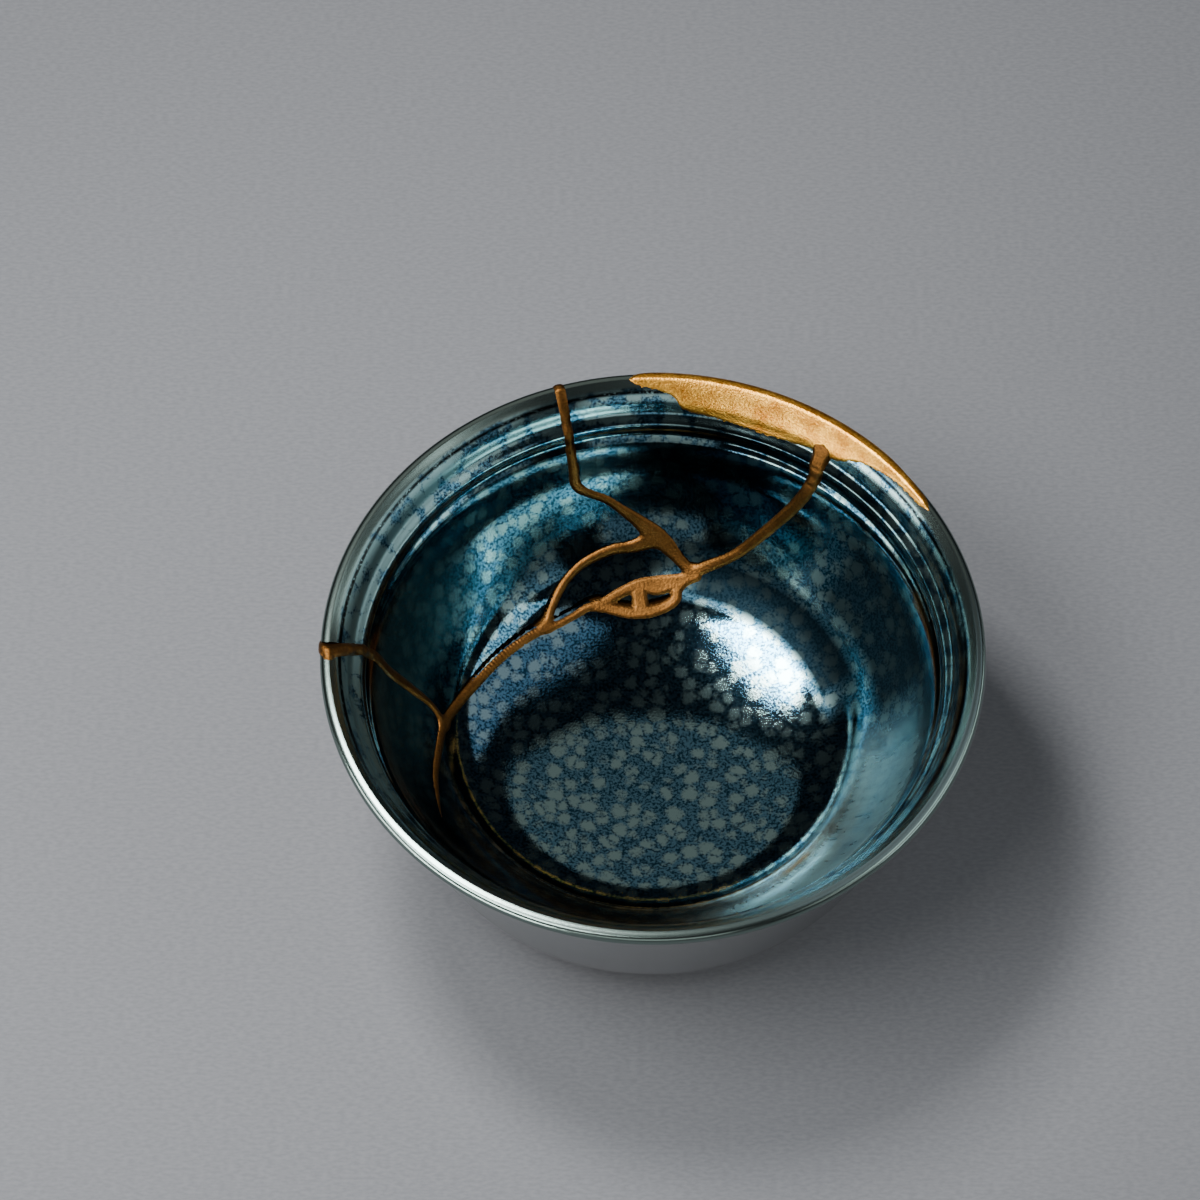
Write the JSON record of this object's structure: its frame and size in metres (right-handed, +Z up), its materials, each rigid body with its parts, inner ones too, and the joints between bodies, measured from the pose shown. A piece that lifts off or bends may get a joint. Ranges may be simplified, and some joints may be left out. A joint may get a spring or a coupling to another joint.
{
  "type": "kintsugi sake cup",
  "caption": "Round straight-sided sake cup on a low foot ring, in dark oil-spot glaze, broken and joined again with gold lacquer seams and a gold lip fill.",
  "frame": {"origin": "middle of the foot's underside, on the surface that the cup stands on", "axes": "+Z up along the cup's axis, -Y towards the viewer of the picture, +X to the viewer's right"},
  "size_m": [0.075, 0.075, 0.0341],
  "materials": {
    "oil_spot_glaze": "glossy dark blue oil-spot glaze with a metallic sheen",
    "gold_lacquer": "satin gold powder on lacquer"
  },
  "bodies": {
    "root": {"cup_body": "oil_spot_glaze", "left_sherd": "oil_spot_glaze", "back_sherd": "oil_spot_glaze", "small_sherd": "oil_spot_glaze", "gold_seam": "gold_lacquer", "gold_lip_fill": "gold_lacquer"}
  },
  "joints": []
}
